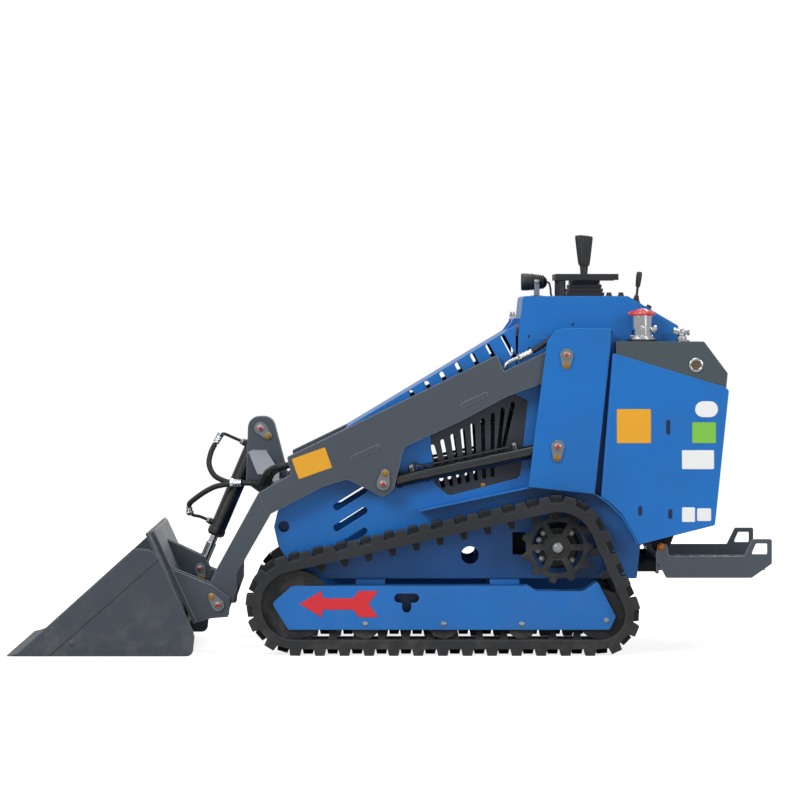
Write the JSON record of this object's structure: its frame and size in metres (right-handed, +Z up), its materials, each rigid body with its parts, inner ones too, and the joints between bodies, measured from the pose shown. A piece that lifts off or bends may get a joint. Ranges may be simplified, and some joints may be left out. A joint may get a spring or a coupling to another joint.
{
  "type": "mini skid steer loader",
  "caption": "Compact rubber-tracked loader with twin lift arms, a front bucket on a quick attach plate, a slotted hood and a stand-on rear platform.",
  "frame": {"origin": "on the ground under the middle of the machine's bounding box", "axes": "+X towards the operator's platform, so the bucket faces -X, +Y towards the machine's right side, +Z up"},
  "size_m": [2.3216, 1.05, 1.2791],
  "materials": {
    "blue_paint": "semi-gloss powder coat",
    "grey_paint": "satin powder coat",
    "track_rubber": "matt moulded rubber",
    "black_iron": "black paint on castings",
    "cylinder_black": "gloss black paint",
    "rod_chrome": "ground and plated",
    "pin_steel": "turned steel",
    "cap_steel": "bright plated",
    "black_plastic": "moulded, fine grain",
    "engine_iron": "dark casting"
  },
  "bodies": {
    "chassis": {"chassis_side_left": "blue_paint", "chassis_side_right": "blue_paint", "belly_frame": "blue_paint", "front_cross_tube": "blue_paint", "track_frame_left": "blue_paint", "track_frame_right": "blue_paint", "tower_left": "blue_paint", "tower_right": "blue_paint", "track_guards": "blue_paint", "console": "blue_paint", "rear_panel_left": "blue_paint", "rear_panel_right": "blue_paint", "rear_cover": "blue_paint", "side_grilles": "grey_paint", "tank_left": "grey_paint", "tank_right": "grey_paint", "platform": "grey_paint", "track_left": "track_rubber", "track_right": "track_rubber", "sprocket_left": "black_iron", "sprocket_right": "black_iron", "drive_motors": "black_iron", "front_idlers": "black_iron", "rear_idlers": "black_iron", "track_rollers": "black_iron", "platform_mounts": "black_iron", "platform_shaft": "black_iron", "tower_pins": "pin_steel", "filler_cap": "cap_steel", "breather_fitting": "cap_steel", "control_levers": "black_plastic", "guard_bar": "black_plastic", "work_lamp": "black_plastic", "throttle_lever": "black_plastic", "engine_block": "engine_iron"},
    "hood": {"hood": "blue_paint"},
    "lift_arms": {"lift_arm_left": "grey_paint", "lift_arm_right": "grey_paint", "arm_cross_frame": "grey_paint"},
    "lift_barrels": {"lift_barrels": "cylinder_black"},
    "lift_rods": {"lift_rods": "rod_chrome"},
    "tilt_barrel": {"tilt_barrel": "cylinder_black"},
    "tilt_rod": {"tilt_rod": "rod_chrome"},
    "bucket": {"quick_attach": "grey_paint", "attach_ears": "grey_paint", "bucket": "grey_paint"}
  },
  "joints": [
    {"name": "arm_lift", "type": "hinge", "parent": "chassis", "child": "lift_arms", "pos_m": [0.5336, 0, 0.9067], "axis": [0, 1, 0], "range_deg": [0, 70]},
    {"name": "bucket_tilt", "type": "hinge", "parent": "lift_arms", "child": "bucket", "pos_m": [-0.5285, 0, 0.1452], "axis": [0, -1, 0], "range_deg": [-15, 95]},
    {"name": "hood_lid", "type": "hinge", "parent": "chassis", "child": "hood", "pos_m": [0.382, 0, 1.0105], "axis": [0, 1, 0], "range_deg": [0, 60]},
    {"name": "lift_barrel_swing", "type": "hinge", "parent": "chassis", "child": "lift_barrels", "pos_m": [0.5067, 0, 0.628], "axis": [0, 1, 0], "range_deg": [0, 63.7]},
    {"name": "lift_rod_slide", "type": "slide", "parent": "lift_barrels", "child": "lift_rods", "axis": [-0.9778, 0, -0.2096], "range_m": [0, 0.3125]},
    {"name": "tilt_barrel_swing", "type": "hinge", "parent": "lift_arms", "child": "tilt_barrel", "pos_m": [-0.4103, 0, 0.6757], "axis": [0, -1, 0], "range_deg": [-0.6, 3.5]},
    {"name": "tilt_rod_slide", "type": "slide", "parent": "tilt_barrel", "child": "tilt_rod", "axis": [-0.3937, 0, -0.9192], "range_m": [-0.028, 0.1735]}
  ],
  "couplings": [
    {"joint": "lift_barrel_swing", "follows": "arm_lift", "ratio": 0.90806},
    {"joint": "lift_rod_slide", "follows": "arm_lift", "m_per_rad": 0.25531},
    {"joint": "tilt_barrel_swing", "follows": "bucket_tilt", "ratio": 0.035},
    {"joint": "tilt_rod_slide", "follows": "bucket_tilt", "m_per_rad": 0.104}
  ]
}
